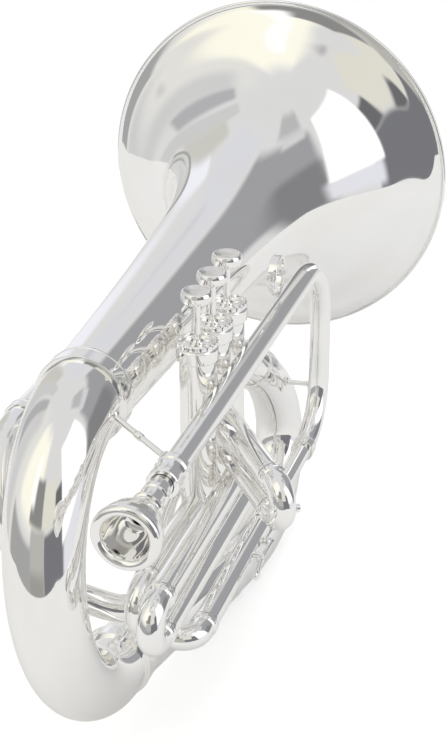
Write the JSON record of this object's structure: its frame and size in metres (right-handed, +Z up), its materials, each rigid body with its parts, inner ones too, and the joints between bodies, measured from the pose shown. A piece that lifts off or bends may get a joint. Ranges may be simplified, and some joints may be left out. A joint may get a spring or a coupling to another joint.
{
  "type": "baritone horn",
  "caption": "Silver-plated brass horn with a wide forward bell, wrapped conical tubing, top-action piston valves, pull-out slides, water keys and a removable mouthpiece.",
  "frame": {"origin": "centre of the bounding box's base, under the lowest point of the front bow", "axes": "+Y from the mouthpiece to the bell, +Z up along the valves, +X to the player's right"},
  "size_m": [0.267, 0.5424, 0.3639],
  "materials": {
    "silver_plate": "mirror-polished silver plate over brass",
    "nickel_plate": "satin nickel plate on drawn brass",
    "spring_steel": "bright wire",
    "felt": "pressed wool felt"
  },
  "bodies": {
    "horn": {"bell_flare": "silver_plate", "bell_stem": "silver_plate", "bell_ferrule": "silver_plate", "rear_bow": "silver_plate", "rear_bow_ferrule": "silver_plate", "lower_branch": "silver_plate", "front_bow": "silver_plate", "crossover_branch": "silver_plate", "valve_bow_ferrule": "silver_plate", "valve_bow": "silver_plate", "leadpipe": "silver_plate", "mouthpiece_receiver": "silver_plate", "tuning_bow": "silver_plate", "tuning_outer_sleeve": "silver_plate", "tuning_inner_sleeve": "silver_plate", "leadpipe_brace": "silver_plate", "tuning_bow_brace": "silver_plate", "finger_ring": "silver_plate", "bow_water_key_saddle": "silver_plate", "leg_water_key_saddle": "silver_plate", "first_to_second_knuckle": "silver_plate", "second_to_third_knuckle": "silver_plate", "first_valve_casing": "silver_plate", "first_valve_top_cap": "silver_plate", "first_valve_bottom_cap": "silver_plate", "first_upper_sleeve": "silver_plate", "first_lower_sleeve": "silver_plate", "second_valve_casing": "silver_plate", "second_valve_top_cap": "silver_plate", "second_valve_bottom_cap": "silver_plate", "second_upper_sleeve": "silver_plate", "second_lower_sleeve": "silver_plate", "third_valve_casing": "silver_plate", "third_valve_top_cap": "silver_plate", "third_valve_bottom_cap": "silver_plate", "third_upper_sleeve": "silver_plate", "third_lower_sleeve": "silver_plate", "first_valve_spring": "spring_steel", "second_valve_spring": "spring_steel", "third_valve_spring": "spring_steel"},
    "first_valve": {"first_piston": "nickel_plate", "first_valve_stem": "silver_plate", "first_finger_button": "silver_plate", "first_valve_felt": "felt"},
    "second_valve": {"second_piston": "nickel_plate", "second_valve_stem": "silver_plate", "second_finger_button": "silver_plate", "second_valve_felt": "felt"},
    "third_valve": {"third_piston": "nickel_plate", "third_valve_stem": "silver_plate", "third_finger_button": "silver_plate", "third_valve_felt": "felt"},
    "main_tuning_slide": {"main_tuning_slide": "silver_plate"},
    "first_valve_slide": {"first_valve_slide": "silver_plate"},
    "second_valve_slide": {"second_valve_slide": "silver_plate", "second_slide_pull_knob": "silver_plate"},
    "third_valve_slide": {"third_valve_slide": "silver_plate"},
    "mouthpiece": {"mouthpiece": "silver_plate"},
    "bow_water_key": {"bow_water_key": "silver_plate"},
    "leg_water_key": {"leg_water_key": "silver_plate"}
  },
  "joints": [
    {"name": "first_valve_press", "type": "slide", "parent": "horn", "child": "first_valve", "axis": [0, 0, -1], "range_m": [0, 0.018], "stiffness_N_per_m": 110, "springref_m": -0.015, "deforming": ["first_valve_spring"]},
    {"name": "second_valve_press", "type": "slide", "parent": "horn", "child": "second_valve", "axis": [0, 0, -1], "range_m": [0, 0.018], "stiffness_N_per_m": 110, "springref_m": -0.015, "deforming": ["second_valve_spring"]},
    {"name": "third_valve_press", "type": "slide", "parent": "horn", "child": "third_valve", "axis": [0, 0, -1], "range_m": [0, 0.018], "stiffness_N_per_m": 110, "springref_m": -0.015, "deforming": ["third_valve_spring"]},
    {"name": "main_tuning_pull", "type": "slide", "parent": "horn", "child": "main_tuning_slide", "axis": [0, -1, 0], "range_m": [0, 0.045]},
    {"name": "first_slide_pull", "type": "slide", "parent": "horn", "child": "first_valve_slide", "axis": [0, -1, 0], "range_m": [0, 0.035]},
    {"name": "second_slide_pull", "type": "slide", "parent": "horn", "child": "second_valve_slide", "axis": [0.596, -0.803, 0], "range_m": [0, 0.03]},
    {"name": "third_slide_pull", "type": "slide", "parent": "horn", "child": "third_valve_slide", "axis": [0, -1, 0], "range_m": [0, 0.06]},
    {"name": "mouthpiece_pull", "type": "slide", "parent": "horn", "child": "mouthpiece", "axis": [0, -1, 0], "range_m": [0, 0.03]},
    {"name": "bow_water_key_hinge", "type": "hinge", "parent": "horn", "child": "bow_water_key", "pos_m": [0.0712, 0.1436, 0.1101], "axis": [1, 0, 0], "range_deg": [0, 12], "stiffness_Nm_per_rad": 0.02, "springref_deg": -22.92},
    {"name": "leg_water_key_hinge", "type": "hinge", "parent": "horn", "child": "leg_water_key", "pos_m": [0.084, -0.0608, 0.0854], "axis": [0, 0, -1], "range_deg": [0, 12], "stiffness_Nm_per_rad": 0.02, "springref_deg": -22.92}
  ]
}
